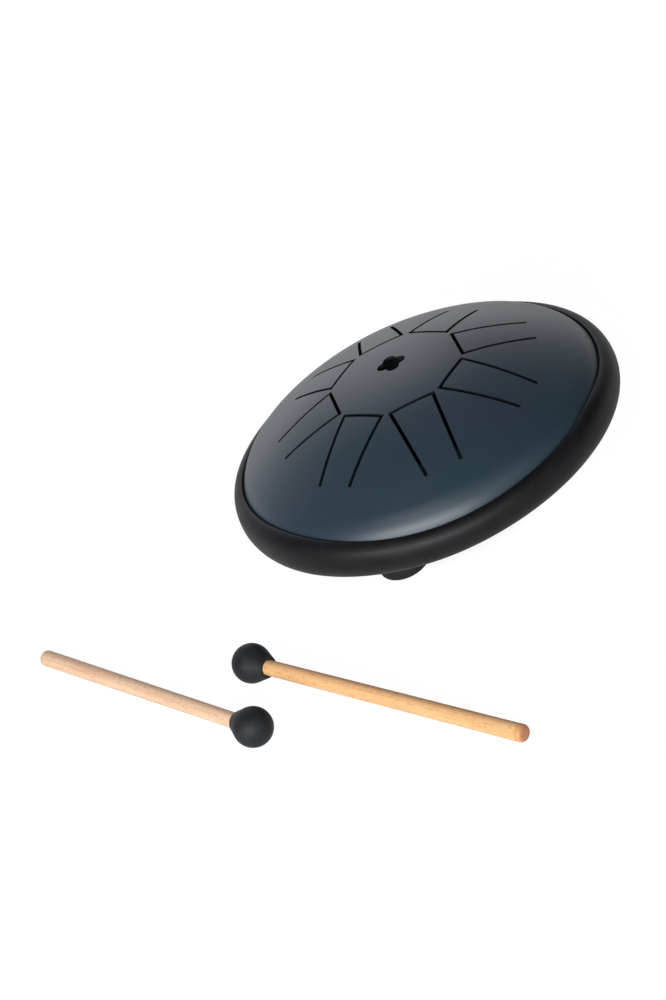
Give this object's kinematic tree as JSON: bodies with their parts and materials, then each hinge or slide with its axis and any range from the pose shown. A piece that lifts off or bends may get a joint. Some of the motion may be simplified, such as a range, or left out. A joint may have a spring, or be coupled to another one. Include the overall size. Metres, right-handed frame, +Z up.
{
  "type": "tongue drum",
  "caption": "Small round steel tongue drum with radial tongues round a four-lobed hole, a black rubber rim and feet, and rubber-headed wooden mallets beside it.",
  "frame": {"origin": "middle of the footprint of the drum with its two mallets lying beside it, on the surface that the feet stand on; the drum's own axis is at x 0.0496, y 0.0492", "axes": "+Z up, along the drum's axis; +Y away from the player, who sits at -Y with the lowest tongue towards them; +X to the player's right"},
  "size_m": [0.2648, 0.264, 0.0609],
  "materials": {
    "shell_paint": "satin dark navy grey powder coat on pressed steel",
    "rim_rubber": "matte black moulded rubber",
    "foot_rubber": "matte black moulded rubber",
    "mallet_rubber": "matte near-black moulded rubber",
    "mallet_wood": "bare sanded beech with short dark flecks"
  },
  "bodies": {
    "drum": {"top_shell": "shell_paint", "bottom_shell": "shell_paint", "rim_ring": "rim_rubber", "foot_1": "foot_rubber", "foot_2": "foot_rubber", "foot_3": "foot_rubber"},
    "mallet_1": {"mallet_1_head": "mallet_rubber", "mallet_1_stick": "mallet_wood"},
    "mallet_2": {"mallet_2_head": "mallet_rubber", "mallet_2_stick": "mallet_wood"}
  },
  "joints": [
    {"name": "mallet_1_lift", "type": "slide", "parent": "drum", "child": "mallet_1", "axis": [0, 0, 1], "range_m": [0, 0.15]},
    {"name": "mallet_2_lift", "type": "slide", "parent": "drum", "child": "mallet_2", "axis": [0, 0, 1], "range_m": [0, 0.15]}
  ]
}
